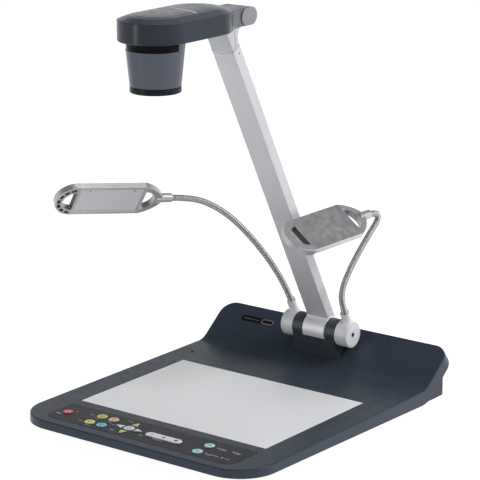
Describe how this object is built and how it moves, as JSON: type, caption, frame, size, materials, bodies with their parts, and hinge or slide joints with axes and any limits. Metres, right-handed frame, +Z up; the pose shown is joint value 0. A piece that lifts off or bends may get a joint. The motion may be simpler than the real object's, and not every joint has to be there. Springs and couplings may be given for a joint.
{
  "type": "overhead projector",
  "caption": "Desktop document camera: flat base with a back-lit stage and key panel, a folding arm with a tilting camera head, and bendable side lamps.",
  "frame": {"origin": "On the table, under the middle of the whole object's outline at rest. The stage's centre is 26.6 mm to the right of it and 40 mm in front of it.", "axes": "+Z up, +X to the user's right, +Y away from the user; the key panel is at the front (-Y) and the arm is at the back (+Y)."},
  "size_m": [0.4274, 0.4679, 0.5438],
  "materials": {
    "deck_paint": "satin",
    "housing_plastic": "matte",
    "screw_steel": "satin",
    "circuit_board": "satin",
    "socket_plastic": "satin",
    "foot_rubber": "matte",
    "stage_plate": "satin",
    "clear_acrylic": "gloss",
    "led_strip": "satin",
    "panel_facing": "satin",
    "hinge_dark": "satin",
    "shaft_steel": "satin",
    "badge_plate": "satin",
    "sensor_window": "gloss",
    "barrel_silver": "satin",
    "arm_silver": "satin",
    "neck_cap_silver": "satin",
    "head_slate": "satin",
    "head_top": "satin",
    "tail_grey": "satin",
    "pivot_grey": "satin",
    "skirt_metal": "satin",
    "ring_metal": "satin",
    "lens_window": "gloss",
    "camera_black": "gloss",
    "drum_silver": "satin",
    "neck_metal": "satin",
    "lamp_metal": "brushed",
    "lamp_end_silver": "satin",
    "lamp_diffuser": "satin",
    "key_red": "satin",
    "key_lime": "satin",
    "key_beige": "satin",
    "key_yellow": "satin",
    "key_blue": "satin",
    "key_white": "satin",
    "key_teal": "satin"
  },
  "bodies": {
    "base": {"base_shell": "deck_paint", "bottom_cover": "housing_plastic", "cover_screws": "screw_steel", "rear_housing": "housing_plastic", "main_board": "circuit_board", "power_inlet": "socket_plastic", "av_sockets": "socket_plastic", "feet_front": "foot_rubber", "feet_rear": "foot_rubber", "stage_glass": "stage_plate", "light_guide": "clear_acrylic", "led_strips": "led_strip", "panel_overlay": "panel_facing", "key_board": "circuit_board", "hinge_bracket": "hinge_dark", "hinge_shaft": "shaft_steel", "badge": "badge_plate", "sensor_window": "sensor_window"},
    "arm": {"arm_barrel": "barrel_silver", "arm_tube": "arm_silver", "arm_neck": "neck_cap_silver"},
    "head": {"head_housing": "head_slate", "head_top_cap": "head_top", "head_tail": "tail_grey", "pivot_caps": "pivot_grey", "lens_barrel": "skirt_metal", "lens_ring": "ring_metal", "lens_glass": "lens_window", "camera_module": "camera_black"},
    "drum_left": {"lamp_drum_left": "drum_silver", "drum_cap_left": "drum_silver", "neck_lower_left": "neck_metal"},
    "neck_left": {"neck_upper_left": "neck_metal"},
    "lamp_left": {"lamp_body_left": "lamp_metal", "lamp_tip_cap_left": "lamp_end_silver", "lamp_neck_cap_left": "lamp_end_silver", "lamp_diffuser_left": "lamp_diffuser", "lamp_led_board_left": "circuit_board"},
    "drum_right": {"lamp_drum_right": "drum_silver", "drum_cap_right": "drum_silver", "neck_lower_right": "neck_metal"},
    "neck_right": {"neck_upper_right": "neck_metal"},
    "lamp_right": {"lamp_body_right": "lamp_metal", "lamp_tip_cap_right": "lamp_end_silver", "lamp_neck_cap_right": "lamp_end_silver", "lamp_diffuser_right": "lamp_diffuser", "lamp_led_board_right": "circuit_board"},
    "key_power": {"key_power": "key_red"},
    "key_source_1": {"key_source_1": "key_lime"},
    "key_source_2": {"key_source_2": "key_beige"},
    "key_source_3": {"key_source_3": "key_yellow"},
    "key_source_4": {"key_source_4": "key_blue"},
    "key_pad_centre": {"key_pad_centre": "key_white"},
    "key_lamp_top": {"key_lamp_top": "key_teal"},
    "key_lamp_front": {"key_lamp_front": "key_teal"},
    "key_pad_right": {"key_pad_right": "key_white"},
    "key_pad_back": {"key_pad_back": "key_lime"},
    "key_pad_left": {"key_pad_left": "key_white"},
    "key_pad_front": {"key_pad_front": "key_lime"},
    "key_zoom_rocker": {"key_zoom_rocker": "key_white"}
  },
  "joints": [
    {"name": "arm_hinge", "type": "hinge", "parent": "base", "child": "arm", "pos_m": [0.0266, 0.1802, 0.0671], "axis": [1, 0, 0], "range_deg": [-20, 45]},
    {"name": "head_tilt", "type": "hinge", "parent": "arm", "child": "head", "pos_m": [0.0266, -0.004, 0.522], "axis": [-1, 0, 0], "range_deg": [0, 90]},
    {"name": "lamp_left_swing", "type": "hinge", "parent": "base", "child": "drum_left", "pos_m": [-0.0174, 0.1802, 0.0671], "axis": [1, 0, 0], "range_deg": [-30, 35]},
    {"name": "neck_left_bend", "type": "hinge", "parent": "drum_left", "child": "neck_left", "pos_m": [-0.0609, 0.12375, 0.20325], "axis": [-0.7947, 0.607, 0], "range_deg": [-25, 25]},
    {"name": "lamp_left_turn", "type": "hinge", "parent": "neck_left", "child": "lamp_left", "pos_m": [-0.1325, 0.0277, 0.2565], "axis": [0.4892, 0.8682, -0.0833], "range_deg": [-50, 50]},
    {"name": "lamp_right_swing", "type": "hinge", "parent": "base", "child": "drum_right", "pos_m": [0.0706, 0.1802, 0.0671], "axis": [1, 0, 0], "range_deg": [-30, 35]},
    {"name": "neck_right_bend", "type": "hinge", "parent": "drum_right", "child": "neck_right", "pos_m": [0.0731, 0.17725, 0.15175], "axis": [0.9858, -0.1678, 0], "range_deg": [-25, 25]},
    {"name": "lamp_right_turn", "type": "hinge", "parent": "neck_right", "child": "lamp_right", "pos_m": [0.0831, 0.189, 0.2302], "axis": [0.0951, 0.9946, 0.0404], "range_deg": [-50, 50]},
    {"name": "key_power_press", "type": "slide", "parent": "base", "child": "key_power", "axis": [0, 0, -1], "range_m": [0, 0.0007], "stiffness_N_per_m": 700},
    {"name": "key_source_1_press", "type": "slide", "parent": "base", "child": "key_source_1", "axis": [0, 0, -1], "range_m": [0, 0.0007], "stiffness_N_per_m": 700},
    {"name": "key_source_2_press", "type": "slide", "parent": "base", "child": "key_source_2", "axis": [0, 0, -1], "range_m": [0, 0.0007], "stiffness_N_per_m": 700},
    {"name": "key_source_3_press", "type": "slide", "parent": "base", "child": "key_source_3", "axis": [0, 0, -1], "range_m": [0, 0.0007], "stiffness_N_per_m": 700},
    {"name": "key_source_4_press", "type": "slide", "parent": "base", "child": "key_source_4", "axis": [0, 0, -1], "range_m": [0, 0.0007], "stiffness_N_per_m": 700},
    {"name": "key_pad_centre_press", "type": "slide", "parent": "base", "child": "key_pad_centre", "axis": [0, 0, -1], "range_m": [0, 0.0007], "stiffness_N_per_m": 700},
    {"name": "key_lamp_top_press", "type": "slide", "parent": "base", "child": "key_lamp_top", "axis": [0, 0, -1], "range_m": [0, 0.0007], "stiffness_N_per_m": 700},
    {"name": "key_lamp_front_press", "type": "slide", "parent": "base", "child": "key_lamp_front", "axis": [0, 0, -1], "range_m": [0, 0.0007], "stiffness_N_per_m": 700},
    {"name": "key_pad_right_press", "type": "slide", "parent": "base", "child": "key_pad_right", "axis": [0, 0, -1], "range_m": [0, 0.0007], "stiffness_N_per_m": 700},
    {"name": "key_pad_back_press", "type": "slide", "parent": "base", "child": "key_pad_back", "axis": [0, 0, -1], "range_m": [0, 0.0007], "stiffness_N_per_m": 700},
    {"name": "key_pad_left_press", "type": "slide", "parent": "base", "child": "key_pad_left", "axis": [0, 0, -1], "range_m": [0, 0.0007], "stiffness_N_per_m": 700},
    {"name": "key_pad_front_press", "type": "slide", "parent": "base", "child": "key_pad_front", "axis": [0, 0, -1], "range_m": [0, 0.0007], "stiffness_N_per_m": 700},
    {"name": "key_zoom_rocker_rock", "type": "hinge", "parent": "base", "child": "key_zoom_rocker", "pos_m": [0.0531, -0.1925, 0.0186], "axis": [0, 1, 0], "range_deg": [-1.5, 1.5], "stiffness_Nm_per_rad": 2}
  ]
}
